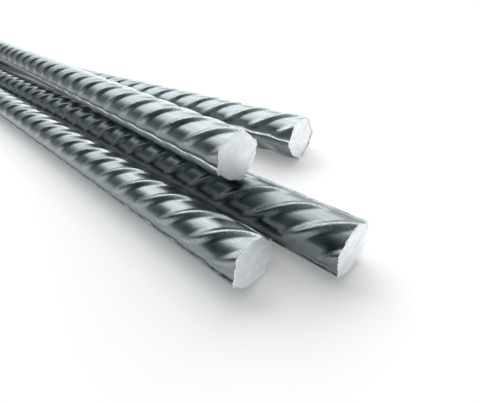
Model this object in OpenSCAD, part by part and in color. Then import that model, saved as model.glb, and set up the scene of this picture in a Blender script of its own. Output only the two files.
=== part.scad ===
// A loose bundle of four hot-rolled deformed reinforcing bars.
// Three bars lie on the floor, fanned out at their near ends and touching at the far ends.
// The fourth lies on top, across the middle bar and the back bar.
// Bars run along X with their near ends towards +X, the front bar at -Y, +Z up.
// The origin is on the floor under the middle of the bundle.

/* [Bar] */
// Length that each bar is cut to
bar_l = 1000; // [600:10:6000]
// Diameter of the round core between the ribs
core_d = 31; // [20:0.5:40]
// Height over the core of the cross ribs, at the middle of a row
cross_rib_h = 2.2; // [0.8:0.1:3]
// Angle from the middle of a row to where its cross ribs run out into the core
cross_rib_reach = 80; // [60:1:84]
// Height over the core of the two ribs along the bar
long_rib_h = 2; // [0.8:0.1:3]
// Width of a rib along the bar at its top
long_rib_top = 3.4; // [1:0.1:5]
// Width of a rib along the bar at its foot
long_rib_foot = 6.6; // [4:0.1:9]

/* [Front bar] */
// Distance of the front bar's near end behind the middle bar's
front_setback = 39.5; // [5:1:150]
// Extra gap between front and middle bars at the front bar's near end
front_fan = 4.5; // [0:0.5:40]
// Turn of the front bar about its own axis
front_turn = -6; // [-45:1:45]

/* [Middle bar] */
// Turn of the middle bar about its own axis
middle_turn = -26; // [-45:1:45]

/* [Back bar] */
// Distance of the back bar's near end behind the middle bar's
back_setback = 89; // [5:1:150]
// Extra gap between middle and back bars at the back bar's near end
back_fan = 42; // [0:0.5:80]
// Turn of the back bar about its own axis
back_turn = 13; // [-45:1:45]

/* [Top bar] */
// Distance of the top bar's near end behind the middle bar's
top_setback = 79; // [5:1:150]
// Sideways distance of the top bar's near end from the middle bar's axis
top_offset = 0.2; // [0:0.1:8]
// Length of the top bar that reaches past the back bar it crosses
top_overhang = 185; // [100:5:280]
// Turn of the top bar about its own axis
top_turn = -2; // [-45:1:45]

/* [Seats] */
// Gap left between bars that lie against each other
seat_gap = 0.2; // [0.05:0.05:0.4]

/* [Hidden] */
mill_scale = "#5d686c";
$fn = 96;

// Section of a bar: the core, the arc that each row of cross ribs sweeps, and the ribs along the bar
core_r = core_d / 2;
crest_r = core_r + cross_rib_h;
row_shift = (crest_r ^ 2 - core_r ^ 2) / (2 * (crest_r - core_r * cos(cross_rib_reach)));
row_r = crest_r - row_shift;
long_rib_r = core_r + long_rib_h;
long_rib_root = sqrt(core_r ^ 2 - (long_rib_foot / 2) ^ 2);

// How far the section reaches from its axis, in a direction given from the middle of a row
function reach(angle) = max(
    row_r + row_shift * abs(cos(angle)),
    long_rib_r * abs(sin(angle)) + long_rib_top / 2 * abs(cos(angle))
);
function reach_up(turn) = reach(turn);
function reach_side(turn) = reach(90 - turn);

// Distance between the axes of two bars that touch side by side on the floor.
// They touch at the angle to the level, within the span, where the least distance keeps them apart.
contact_span = 45;
function seat(front, back) = min([
    for (angle = [-contact_span : contact_span]) (
        reach(90 - angle - front) + reach(90 - angle - back) + seat_gap
        - (reach_up(back) - reach_up(front)) * sin(angle)
    ) / cos(angle)
]);

// Fan of the bars on the floor: each leans against the far end of the middle bar
front_yaw = atan(front_fan / (bar_l - front_setback));
back_yaw = atan(back_fan / (bar_l - back_setback));
front_seat = seat(front_turn, middle_turn) / cos(front_yaw);
back_seat = seat(middle_turn, back_turn) / cos(back_yaw);
front_y = -front_seat - front_fan;
back_y = back_seat + back_fan;

// Top bar: from the shoulder of the middle bar at its near end, across the back bar
top_run = bar_l - top_overhang;
cross_y = back_seat + tan(back_yaw) * (bar_l - top_setback - top_run);
top_yaw = atan((cross_y - top_offset) / top_run);
middle_lift = reach_up(middle_turn) + reach_up(top_turn) + seat_gap;
back_lift = reach_up(back_turn) + reach_up(top_turn) + seat_gap;
top_z = reach_up(middle_turn) + sqrt(middle_lift ^ 2 - top_offset ^ 2);
cross_z = reach_up(back_turn) + back_lift;
top_tilt = atan((cross_z - top_z) * cos(top_yaw) / top_run);

// Middle of the bundle's box on the floor
far_x = min(
    -bar_l,
    -front_setback - bar_l * cos(front_yaw) - reach_side(front_turn) * sin(front_yaw),
    -back_setback - bar_l * cos(back_yaw) - reach_side(back_turn) * sin(back_yaw),
    -top_setback - bar_l * cos(top_yaw) - reach_side(top_turn) * sin(top_yaw)
);
front_edge_y = front_y - reach_side(front_turn) * cos(front_yaw);
back_edge_y = max(
    back_y + reach_side(back_turn) * cos(back_yaw),
    top_offset + bar_l * sin(top_yaw) + reach_side(top_turn) * cos(top_yaw)
);
box_middle = [far_x / 2, (front_edge_y + back_edge_y) / 2, 0];

// Section in its own plane, with the ribs along the bar at left and right
module bar_section() {
    circle(r = core_r);
    for (side = [-1, 1]) translate([0, side * row_shift]) circle(r = row_r);
    polygon([
        [-long_rib_r, -long_rib_top / 2],
        [-long_rib_root, -long_rib_foot / 2],
        [long_rib_root, -long_rib_foot / 2],
        [long_rib_r, -long_rib_top / 2],
        [long_rib_r, long_rib_top / 2],
        [long_rib_root, long_rib_foot / 2],
        [-long_rib_root, long_rib_foot / 2],
        [-long_rib_r, long_rib_top / 2]
    ]);
}

// One bar, cut square at both ends, from its near end at the origin towards -X.
// A positive turn lifts the rib on its -Y side.
module bar(turn) {
    rotate([90, 0, -90]) linear_extrude(bar_l) rotate(turn) bar_section();
}

// A bar laid with the middle of its near end at a place measured from the middle bar's
module laid_bar(near_end, turn, yaw = 0, tilt = 0) {
    color(mill_scale) translate(near_end - box_middle) rotate([0, tilt, yaw]) bar(turn);
}

module front_bar() {
    laid_bar([-front_setback, front_y, reach_up(front_turn)], front_turn, -front_yaw);
}

module middle_bar() {
    laid_bar([0, 0, reach_up(middle_turn)], middle_turn);
}

module back_bar() {
    laid_bar([-back_setback, back_y, reach_up(back_turn)], back_turn, back_yaw);
}

module top_bar() {
    laid_bar([-top_setback, top_offset, top_z], top_turn, -top_yaw, top_tilt);
}

front_bar();
middle_bar();
back_bar();
top_bar();
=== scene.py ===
import math

import bmesh
import bpy
from mathutils import Matrix, Vector, noise


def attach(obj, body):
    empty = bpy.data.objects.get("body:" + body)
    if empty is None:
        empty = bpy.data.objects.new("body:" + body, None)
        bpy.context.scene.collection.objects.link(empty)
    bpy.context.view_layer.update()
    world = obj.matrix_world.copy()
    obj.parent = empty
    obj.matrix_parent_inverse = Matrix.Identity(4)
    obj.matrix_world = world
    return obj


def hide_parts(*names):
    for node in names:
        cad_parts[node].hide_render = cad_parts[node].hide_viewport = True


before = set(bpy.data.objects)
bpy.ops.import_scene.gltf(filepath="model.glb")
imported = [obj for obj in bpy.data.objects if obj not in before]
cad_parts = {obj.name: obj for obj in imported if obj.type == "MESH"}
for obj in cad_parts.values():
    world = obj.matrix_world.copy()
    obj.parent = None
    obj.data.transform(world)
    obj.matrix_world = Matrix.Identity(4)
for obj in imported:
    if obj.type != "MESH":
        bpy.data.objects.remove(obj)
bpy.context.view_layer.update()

# Shape of a rolled bar
# Carbon steel reinforcing bar, hot-rolled round between two grooved rolls.
# The rolls leave a rib along each side, where they meet, and a row of slanting ribs from each groove.
# The two rows lean opposite ways and are staggered by half a spacing.
MM = 0.001
CORE_RADIUS_MM = 15.5
CROSS_RIB_HEIGHT_MM = 2.2
CROSS_RIB_REACH = math.radians(80)
CROSS_RIB_SPACING_MM = 28.8
CROSS_RIB_LEAN_MM_PER_RADIAN = 21
CROSS_RIB_CREST_HALF_MM = 1.0
CROSS_RIB_FOOT_HALF_MM = 6.6
CROSS_RIB_FLANK_STRAIGHT = 0.7
LONG_RIB_HEIGHT_MM = 2.0
LONG_RIB_STEP_MM = 1.1
LONG_RIB_TOP_MM = 4.2
LONG_RIB_FOOT_MM = 5.4
LONG_RIB_FILLET_MM = 10
LONG_RIB_SCALLOP_MM = 0.4
LONG_RIB_SCALLOP_SHIFT = 0.2
ROLLED_WAVE_MM = 0.07
ROLLED_WAVE_LENGTH_MM = 6

# Each cross rib wanders off its line by noise, read at a pace round the bar and apart from rib to rib
CROSS_RIB_WANDER_MM = 0.5
CROSS_RIB_WANDER_PACE = 1.6
CROSS_RIB_WANDER_APART = 3.1

# Mesh lines: along the bar by their distance from a cross rib's crest, and round it by their number
CROSS_RIB_LINES_MM = (0, 0.8, 1.6, 2.4, 3.2, 4.0, 4.8, 5.7, 6.8, 9, 12)
CROSS_RIB_ROW_LINES = 36
LONG_RIB_STEP_LINES = 5
LONG_RIB_SPARE_LINES = 3
SAME_PLACE_MM = 0.001

# The crests of a row lie on an arc that leaves the core where the row's reach ends
crest_radius = CORE_RADIUS_MM + CROSS_RIB_HEIGHT_MM
row_shift = (crest_radius ** 2 - CORE_RADIUS_MM ** 2) / (
    2 * (crest_radius - CORE_RADIUS_MM * math.cos(CROSS_RIB_REACH))
)
row_radius = crest_radius - row_shift


def ramp(value, start, end):
    """How far a value has come from start to end, kept between 0 and 1."""
    return min(max((value - start) / (end - start), 0), 1)


def eased(share):
    """A ramp rounded off where it starts and ends."""
    return share * share * (3 - 2 * share)


def section_angles():
    """Angles round the bar from the middle of the upper row, closer together on the ribs along it."""
    top = LONG_RIB_TOP_MM / 2 / CORE_RADIUS_MM
    foot = LONG_RIB_FOOT_MM / 2 / CORE_RADIUS_MM
    lines = range(-LONG_RIB_SPARE_LINES, LONG_RIB_STEP_LINES + LONG_RIB_SPARE_LINES + 1)
    rib_steps = [0] + [top + (foot - top) * i / LONG_RIB_STEP_LINES for i in lines]
    span = math.pi - 2 * rib_steps[-1]
    row_steps = [span * i / CROSS_RIB_ROW_LINES for i in range(1, CROSS_RIB_ROW_LINES)]
    angles = []
    for middle in (0, math.pi):
        angles += [middle - math.pi / 2 + step for step in rib_steps]
        angles += [middle - span / 2 + step for step in row_steps]
        angles += [middle + math.pi / 2 - step for step in reversed(rib_steps[1:])]
    return angles + [angles[0] + 2 * math.pi]


def cross_rib_height(from_row, distance):
    """Height of a cross rib at an angle from the middle of its row and a distance from its crest."""
    half_chord = math.sqrt(row_radius ** 2 - (row_shift * math.sin(from_row)) ** 2)
    crest_height = max(row_shift * math.cos(from_row) + half_chord - CORE_RADIUS_MM, 0)
    down = ramp(abs(distance), CROSS_RIB_CREST_HALF_MM, CROSS_RIB_FOOT_HALF_MM)
    straight = CROSS_RIB_FLANK_STRAIGHT * down
    return crest_height * (1 - straight - (1 - CROSS_RIB_FLANK_STRAIGHT) * eased(down))


def long_rib_height(from_row, distance):
    """Height of a rib along the bar: a step on a hollow fillet, widest just past a cross rib's crest."""
    past_widest = 2 * math.pi * (distance / CROSS_RIB_SPACING_MM - LONG_RIB_SCALLOP_SHIFT)
    scallop = LONG_RIB_SCALLOP_MM * math.cos(past_widest)
    width = 2 * ((math.pi / 2 - from_row) * CORE_RADIUS_MM - scallop)
    fillet = ramp(width, LONG_RIB_FILLET_MM, LONG_RIB_FOOT_MM)
    step = ramp(width, LONG_RIB_FOOT_MM, LONG_RIB_TOP_MM)
    return (LONG_RIB_HEIGHT_MM - LONG_RIB_STEP_MM) * fillet * fillet + LONG_RIB_STEP_MM * eased(step)


def rolled_bar(near, far, turn, first_rib):
    """A bar that runs on past its ends: turn lifts its front rib, and a cross rib tops it at first_rib."""
    along = (far - near).normalized()
    front = Vector((0, 0, 1)).cross(along).normalized()
    up = along.cross(front)
    length = (far - near).length / MM
    angles = section_angles()
    steps = sorted({-step for step in CROSS_RIB_LINES_MM} | set(CROSS_RIB_LINES_MM))
    spare = CROSS_RIB_LEAN_MM_PER_RADIAN * math.pi / 2 + CROSS_RIB_SPACING_MM
    before = math.ceil((first_rib + spare) / CROSS_RIB_SPACING_MM)
    after = math.ceil((length - first_rib + spare) / CROSS_RIB_SPACING_MM)
    rows = [(rib, step) for rib in range(-before, after + 1) for step in steps]

    bm = bmesh.new()
    rib_mark = bm.verts.layers.float.new("rib_height")
    bmesh.ops.create_grid(bm, x_segments=len(rows) - 1, y_segments=len(angles) - 1, size=0.5)
    for v in bm.verts:
        rib, step = rows[round((v.co.x + 0.5) * (len(rows) - 1))]
        angle = angles[round((v.co.y + 0.5) * (len(angles) - 1))]
        upper_row = angle <= math.pi / 2
        from_row = angle if upper_row else math.pi - angle
        around = Vector((0, math.sin(angle), math.cos(angle)))
        own_way = Vector((rib * CROSS_RIB_WANDER_APART, turn, 0))
        crest = first_rib + rib * CROSS_RIB_SPACING_MM
        crest += CROSS_RIB_LEAN_MM_PER_RADIAN * (from_row - turn)
        crest += CROSS_RIB_WANDER_MM * noise.noise(around * CROSS_RIB_WANDER_PACE + own_way)
        if not upper_row:
            from_side = (math.pi / 2 - abs(from_row)) * CORE_RADIUS_MM
            crest -= CROSS_RIB_SPACING_MM / 2 * ramp(from_side, 0, LONG_RIB_FOOT_MM / 2)
        spot = around * CORE_RADIUS_MM + Vector((crest + step, turn * CORE_RADIUS_MM, 0))
        wave = ROLLED_WAVE_MM * noise.noise(spot / ROLLED_WAVE_LENGTH_MM)
        height = max(cross_rib_height(abs(from_row), step), long_rib_height(abs(from_row), step))
        outward = up * math.cos(angle - turn) + front * math.sin(angle - turn)
        v.co = near + (along * (crest + step) + outward * (CORE_RADIUS_MM + height + wave)) * MM
        v[rib_mark] = height / CROSS_RIB_HEIGHT_MM
    bmesh.ops.remove_doubles(bm, verts=bm.verts, dist=SAME_PLACE_MM * MM)
    return bm


# Mill scale on the bars
# Hot-rolled carbon steel cools with a thin skin of blue-grey iron oxide, a third as bright as sawn steel.
# It gives the eye a dark grey metal, grainy, streaked along the rolling and rubbed to specks on the ribs.
# Real grain is finer than the render can show, so it is drawn coarser.
SCALE_GREY = "#959c9e"
SCALE_DARK = "#7d8688"
SCALE_WORN = "#b6bcbd"
SCALE_GRAIN_MM = 1.1
SCALE_GRAIN_DEPTH_MM = 0.2
SCALE_GRAIN_IN_HOLLOWS = 0.5
SCALE_RUBBED_FROM_HEIGHT = 0.35
SCALE_PATCH_MM = 14
SCALE_STREAK_LENGTH_MM = 45
SCALE_STREAK_WIDTH_MM = 2.2
SCALE_SMOOTHEST = 0.25
SCALE_ROUGHEST = 0.4

# Numbers of a Mix node's colour sockets, which share their names with its other sockets
MIX_A = 6
MIX_B = 7
MIX_RESULT = 2


def linear(hex_colour, tone=1):
    """A hex sRGB colour as linear red, green, blue and alpha, multiplied by tone."""
    levels = [int(hex_colour[i:i + 2], 16) / 255 for i in (1, 3, 5)]
    return [tone * (v / 12.92 if v <= 0.04045 else ((v + 0.055) / 1.055) ** 2.4) for v in levels] + [1]


def add_node(tree, kind, inputs=None, **settings):
    """Add a shader node with its settings, and set or link its inputs by name or number."""
    node = tree.nodes.new(kind)
    for name, value in settings.items():
        setattr(node, name, value)
    for name, value in (inputs or {}).items():
        if isinstance(value, bpy.types.NodeSocket):
            tree.links.new(value, node.inputs[name])
        else:
            node.inputs[name].default_value = value
    return node


def new_material(name):
    """A material with an empty node tree, and that tree."""
    material = bpy.data.materials.new(name)
    material.use_nodes = True
    material.node_tree.nodes.clear()
    return material, material.node_tree


def mill_scale(name, tone):
    """Mill scale with its greys multiplied by tone. A tone below 1 is painted shade: a darker copy of the
    scale for a bar that lies in the shade of the others.
    """
    material, tree = new_material(name)
    place = add_node(tree, "ShaderNodeTexCoord").outputs["Object"]
    streak_size = (SCALE_STREAK_LENGTH_MM, SCALE_STREAK_WIDTH_MM, SCALE_STREAK_WIDTH_MM)
    stretched = add_node(tree, "ShaderNodeMapping", {
        "Vector": place, "Scale": [1 / (size * MM) for size in streak_size],
    }).outputs["Vector"]
    streak = add_node(tree, "ShaderNodeTexNoise", {
        "Vector": stretched, "Scale": 1, "Detail": 3,
    }).outputs["Fac"]
    patch = add_node(tree, "ShaderNodeTexNoise", {
        "Vector": place, "Scale": 1 / (SCALE_PATCH_MM * MM), "Detail": 5, "Roughness": 0.6,
    }).outputs["Fac"]
    grain = add_node(tree, "ShaderNodeTexNoise", {
        "Vector": place, "Scale": 1 / (SCALE_GRAIN_MM * MM), "Detail": 4, "Roughness": 0.65,
    }).outputs["Fac"]
    rib_height = add_node(tree, "ShaderNodeAttribute", attribute_name="rib_height").outputs["Fac"]
    mottle = add_node(tree, "ShaderNodeMath", {0: streak, 1: patch}, operation="ADD").outputs[0]
    shade = add_node(tree, "ShaderNodeMapRange", {
        "Value": mottle, "From Min": 0.75, "From Max": 1.25,
    }).outputs["Result"]
    body = add_node(tree, "ShaderNodeMix", {
        "Factor": shade, MIX_A: linear(SCALE_DARK, tone), MIX_B: linear(SCALE_GREY, tone),
    }, data_type="RGBA").outputs[MIX_RESULT]
    rubbed = add_node(tree, "ShaderNodeMapRange", {
        "Value": rib_height, "From Max": SCALE_RUBBED_FROM_HEIGHT,
    }).outputs["Result"]
    specks = add_node(tree, "ShaderNodeMapRange", {
        "Value": grain, "From Min": 0.45, "From Max": 0.65,
    }).outputs["Result"]
    wear = add_node(tree, "ShaderNodeMath", {0: rubbed, 1: specks}, operation="MULTIPLY").outputs[0]
    colour = add_node(tree, "ShaderNodeMix", {
        "Factor": wear, MIX_A: body, MIX_B: linear(SCALE_WORN, tone),
    }, data_type="RGBA").outputs[MIX_RESULT]
    roughness = add_node(tree, "ShaderNodeMapRange", {
        "Value": patch, "From Min": 0.3, "From Max": 0.7,
        "To Min": SCALE_SMOOTHEST, "To Max": SCALE_ROUGHEST,
    }).outputs["Result"]
    scuffed = add_node(tree, "ShaderNodeMapRange", {
        "Value": rib_height, "To Min": SCALE_GRAIN_IN_HOLLOWS, "To Max": 1,
    }).outputs["Result"]
    bump = add_node(tree, "ShaderNodeBump", {
        "Height": grain, "Strength": scuffed, "Distance": SCALE_GRAIN_DEPTH_MM * MM,
    }).outputs["Normal"]
    steel = add_node(tree, "ShaderNodeBsdfPrincipled", {
        "Base Color": colour, "Metallic": 1, "Roughness": roughness, "Normal": bump,
    })
    add_node(tree, "ShaderNodeOutputMaterial", {"Surface": steel.outputs["BSDF"]})
    return material


# Sawn ends of the bars
# Each bar is sawn square, which leaves bare bright steel with a ragged edge and no scale on it.
# It gives the eye a near-white metal with faint saw lines and cloudy patches.
CUT_EDGE_MM = 0.6
CUT_EDGE_CHIP_MM = 1.4
SAWN_MATERIAL_INDEX = 1
SAWN_BRIGHT = "#fafbfc"
SAWN_DULL = "#e9ecef"
SAWN_ROUGHNESS = 0.5
SAWN_CLOUD_MM = 6
SAW_LINE_MM = 0.9
SAW_LINE_DEPTH_MM = 0.03

# Waves to a unit of a diagonal wave texture of scale 1, across a bar's end
DIAGONAL_WAVES_PER_UNIT = 10 * math.sqrt(2) / (2 * math.pi)


def saw_square(bm, end, outside):
    """Saw a bar off at its end, and give the cut an edge break that is chipped here and there."""
    rim_middle = end - outside * CUT_EDGE_MM * MM
    cut = bmesh.ops.bisect_plane(
        bm, geom=bm.verts[:] + bm.edges[:] + bm.faces[:], plane_co=rim_middle, plane_no=outside,
        clear_outer=True,
    )
    rim = [e for e in cut["geom_cut"] if isinstance(e, bmesh.types.BMEdge)]
    face = bmesh.ops.holes_fill(bm, edges=rim, sides=0)["faces"]
    bmesh.ops.recalc_face_normals(bm, faces=bm.faces)
    edge = bmesh.ops.inset_region(bm, faces=face, thickness=CUT_EDGE_MM * MM, depth=CUT_EDGE_MM * MM)
    for f in face + edge["faces"]:
        f.material_index = SAWN_MATERIAL_INDEX
    for v in bm.verts:
        if abs((v.co - rim_middle).dot(outside)) < SAME_PLACE_MM * MM:
            ragged = ramp(noise.noise(v.co / (CUT_EDGE_CHIP_MM * MM)), -0.5, 0.5)
            v.co += outside * CUT_EDGE_MM * MM * ragged


def sawn_steel(name):
    """Bare steel as the saw leaves it."""
    material, tree = new_material(name)
    place = add_node(tree, "ShaderNodeTexCoord").outputs["Object"]
    cloud = add_node(tree, "ShaderNodeTexNoise", {
        "Vector": place, "Scale": 1 / (SAWN_CLOUD_MM * MM), "Detail": 5, "Roughness": 0.6,
    }).outputs["Fac"]
    saw_lines = add_node(tree, "ShaderNodeTexWave", {
        "Vector": place, "Scale": 1 / (DIAGONAL_WAVES_PER_UNIT * SAW_LINE_MM * MM),
        "Distortion": 2, "Detail": 2,
    }, bands_direction="DIAGONAL").outputs["Fac"]
    shade = add_node(tree, "ShaderNodeMapRange", {
        "Value": cloud, "From Min": 0.35, "From Max": 0.65,
    }).outputs["Result"]
    colour = add_node(tree, "ShaderNodeMix", {
        "Factor": shade, MIX_A: linear(SAWN_DULL), MIX_B: linear(SAWN_BRIGHT),
    }, data_type="RGBA").outputs[MIX_RESULT]
    bump = add_node(tree, "ShaderNodeBump", {
        "Height": saw_lines, "Strength": 0.3, "Distance": SAW_LINE_DEPTH_MM * MM,
    }).outputs["Normal"]
    steel = add_node(tree, "ShaderNodeBsdfPrincipled", {
        "Base Color": colour, "Metallic": 1, "Roughness": SAWN_ROUGHNESS, "Normal": bump,
    })
    add_node(tree, "ShaderNodeOutputMaterial", {"Surface": steel.outputs["BSDF"]})
    return material


# The four bars, each in place of its solid
# They lie loose: three on the floor and one across them, each rolled over a little, with its ribs askew.
# The flat ends of the solids give their places.
SQUARE_END_COSINE = 0.9


def cut_ends(node):
    """The middles of a bar's near and far ends, from the flat ends of its solid."""
    middles = []
    for facing in (1, -1):
        ends = [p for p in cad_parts[node].data.polygons if p.normal.x * facing > SQUARE_END_COSINE]
        area = sum(p.area for p in ends)
        middles.append(sum((p.center * p.area for p in ends), Vector()) / area)
    return middles


def lay_bar(node, turn, first_rib, scale, sawn):
    """Lay a ribbed bar where its solid is, with mill scale along it and bare steel at its ends."""
    near, far = cut_ends(node)
    along = (far - near).normalized()
    bm = rolled_bar(near, far, turn, first_rib)
    saw_square(bm, near, -along)
    saw_square(bm, far, along)
    for f in bm.faces:
        f.smooth = f.material_index != SAWN_MATERIAL_INDEX
    for e in bm.edges:
        e.smooth = all(f.smooth for f in e.link_faces)
    piece = bpy.data.objects.new(node + "_ribbed", bpy.data.meshes.new(node + "_ribbed"))
    bm.to_mesh(piece.data)
    bm.free()
    piece.data.materials.append(scale)
    piece.data.materials.append(sawn)
    bpy.context.collection.objects.link(piece)
    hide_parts(node)
    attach(piece, "root")


# Each line gives a bar's turn in degrees, where a cross rib tops it in mm, and the tone of its scale. The
# middle bar's lower tone is painted shade, standing for the shade that the bars beside and over it cast.
sawn_ends = sawn_steel("sawn_steel")
for node, turn_degrees, first_rib_mm, tone in (
    ("front_bar", -6, 17.0, 1.0),
    ("middle_bar", -26, 7.4, 0.75),
    ("back_bar", 13, 19.8, 1.0),
    ("top_bar", -2, 11.2, 1.0),
):
    scale = mill_scale(node + "_mill_scale", tone)
    lay_bar(node, math.radians(turn_degrees), first_rib_mm, scale, sawn_ends)

# Floor
# A plain matt white studio floor under the bars, wide enough to fill the view.
# It glows a little to the eye and in reflections, so that it reads as white and still keeps the shadows.
FLOOR_WHITE = "#f4f4f4"
FLOOR_GLOW = 0.2
FLOOR_SIDE_M = 12

floor_bm = bmesh.new()
bmesh.ops.create_grid(floor_bm, x_segments=1, y_segments=1, size=FLOOR_SIDE_M / 2)
floor = bpy.data.objects.new("floor", bpy.data.meshes.new("floor"))
floor_bm.to_mesh(floor.data)
floor_bm.free()
bpy.context.collection.objects.link(floor)
paper, paper_tree = new_material("matt_white_paper")
ray = add_node(paper_tree, "ShaderNodeLightPath").outputs
mirrored = add_node(paper_tree, "ShaderNodeMath", {
    0: ray["Is Glossy Ray"], 1: ray["Is Transmission Ray"],
}, operation="ADD").outputs[0]
seen = add_node(paper_tree, "ShaderNodeMath", {
    0: ray["Is Camera Ray"], 1: mirrored,
}, operation="ADD").outputs[0]
strength = add_node(paper_tree, "ShaderNodeMath", {
    0: seen, 1: FLOOR_GLOW,
}, operation="MULTIPLY").outputs[0]
glow = add_node(paper_tree, "ShaderNodeEmission", {"Strength": strength}).outputs["Emission"]
matt = add_node(paper_tree, "ShaderNodeBsdfDiffuse", {"Color": linear(FLOOR_WHITE)}).outputs["BSDF"]
both = add_node(paper_tree, "ShaderNodeAddShader", {0: matt, 1: glow}).outputs["Shader"]
add_node(paper_tree, "ShaderNodeOutputMaterial", {"Surface": both})
floor.data.materials.append(paper)

# Studio light
# A broad oval softbox hangs slantwise behind the bars, opposite the camera.
# The room is pale grey, and falls off to dark teal behind the camera.
# The steel mirrors the softbox on its upper sides, and the dark on the flanks that face the camera.
SOFTBOX_LENGTH_M = 4.8
SOFTBOX_WIDTH_M = 2
SOFTBOX_BRIGHTNESS = 2.5
SOFTBOX_AIM_M = Vector((0.4, 0, 0))
SOFTBOX_DISTANCE_M = 2
SOFTBOX_AZIMUTH = 46
SOFTBOX_ELEVATION = 42
SOFTBOX_SLANT = 20
ROOM_DARK = "#1f3f43"
ROOM_PALE = "#d1d1d1"
ROOM_DARK_AZIMUTH = 160
ROOM_DARK_ELEVATION = 25
ROOM_PALE_FROM_COSINE = 0.1


def direction(azimuth, elevation):
    """A direction by its azimuth from +Y towards -X and its elevation, in degrees."""
    level = math.cos(math.radians(elevation))
    return Vector((
        -math.sin(math.radians(azimuth)) * level,
        math.cos(math.radians(azimuth)) * level,
        math.sin(math.radians(elevation)),
    ))


softbox = bpy.data.objects.new("softbox", bpy.data.lights.new("softbox", "AREA"))
softbox.data.shape = "ELLIPSE"
softbox.data.size = SOFTBOX_LENGTH_M
softbox.data.size_y = SOFTBOX_WIDTH_M
softbox_area = math.pi / 4 * SOFTBOX_LENGTH_M * SOFTBOX_WIDTH_M
softbox.data.energy = SOFTBOX_BRIGHTNESS * math.pi * softbox_area
softbox.visible_camera = False
to_softbox = direction(SOFTBOX_AZIMUTH, SOFTBOX_ELEVATION)
softbox_place = Matrix.Translation(SOFTBOX_AIM_M + SOFTBOX_DISTANCE_M * to_softbox)
facing_bars = to_softbox.to_track_quat("Z", "Y").to_matrix().to_4x4()
softbox.matrix_world = softbox_place @ facing_bars @ Matrix.Rotation(math.radians(SOFTBOX_SLANT), 4, "Z")
bpy.context.collection.objects.link(softbox)

room = bpy.data.worlds.new("room")
room.use_nodes = True
room.node_tree.nodes.clear()
looking = add_node(room.node_tree, "ShaderNodeTexCoord").outputs["Generated"]
to_dark = add_node(room.node_tree, "ShaderNodeVectorMath", {
    0: looking, 1: direction(ROOM_DARK_AZIMUTH, ROOM_DARK_ELEVATION),
}, operation="DOT_PRODUCT").outputs["Value"]
away = add_node(room.node_tree, "ShaderNodeMapRange", {
    "Value": to_dark, "From Min": 1, "From Max": ROOM_PALE_FROM_COSINE,
}).outputs["Result"]
wall_colour = add_node(room.node_tree, "ShaderNodeMix", {
    "Factor": away, MIX_A: linear(ROOM_DARK), MIX_B: linear(ROOM_PALE),
}, data_type="RGBA").outputs[MIX_RESULT]
walls = add_node(room.node_tree, "ShaderNodeBackground", {"Color": wall_colour}).outputs["Background"]
add_node(room.node_tree, "ShaderNodeOutputWorld", {"Surface": walls})
bpy.context.scene.world = room
bpy.context.scene.view_settings.view_transform = "Standard"

# Camera
# A wide lens held close above the near ends, looking down along the bars and rolled a little to one side.
# Its place is measured from the middle of the middle bar's near end, on the floor.
PHOTO_WIDTH_PX = 480
FOCAL_LENGTH_PX = 340
SENSOR_WIDTH_MM = 36
NEAREST_SEEN_M = 0.005
CAMERA_FROM_NEAR_END_MM = Vector((57.4, -108.8, 172.3))
CAMERA_AZIMUTH = 53.34
CAMERA_ELEVATION = 41.71
CAMERA_ROLL = 15.19

forward = direction(CAMERA_AZIMUTH, -CAMERA_ELEVATION)
level_right = forward.cross(Vector((0, 0, 1))).normalized()
right = Matrix.Rotation(math.radians(CAMERA_ROLL), 3, forward) @ level_right
turned = Matrix((right, right.cross(forward), -forward)).transposed().to_4x4()
near_end_on_floor = cut_ends("middle_bar")[0]
near_end_on_floor.z = 0
camera = bpy.data.objects.new("camera", bpy.data.cameras.new("camera"))
camera.data.sensor_fit = "HORIZONTAL"
camera.data.sensor_width = SENSOR_WIDTH_MM
camera.data.lens = SENSOR_WIDTH_MM * FOCAL_LENGTH_PX / PHOTO_WIDTH_PX
camera.data.clip_start = NEAREST_SEEN_M
camera.matrix_world = Matrix.Translation(near_end_on_floor + CAMERA_FROM_NEAR_END_MM * MM) @ turned
bpy.context.collection.objects.link(camera)
bpy.context.scene.camera = camera
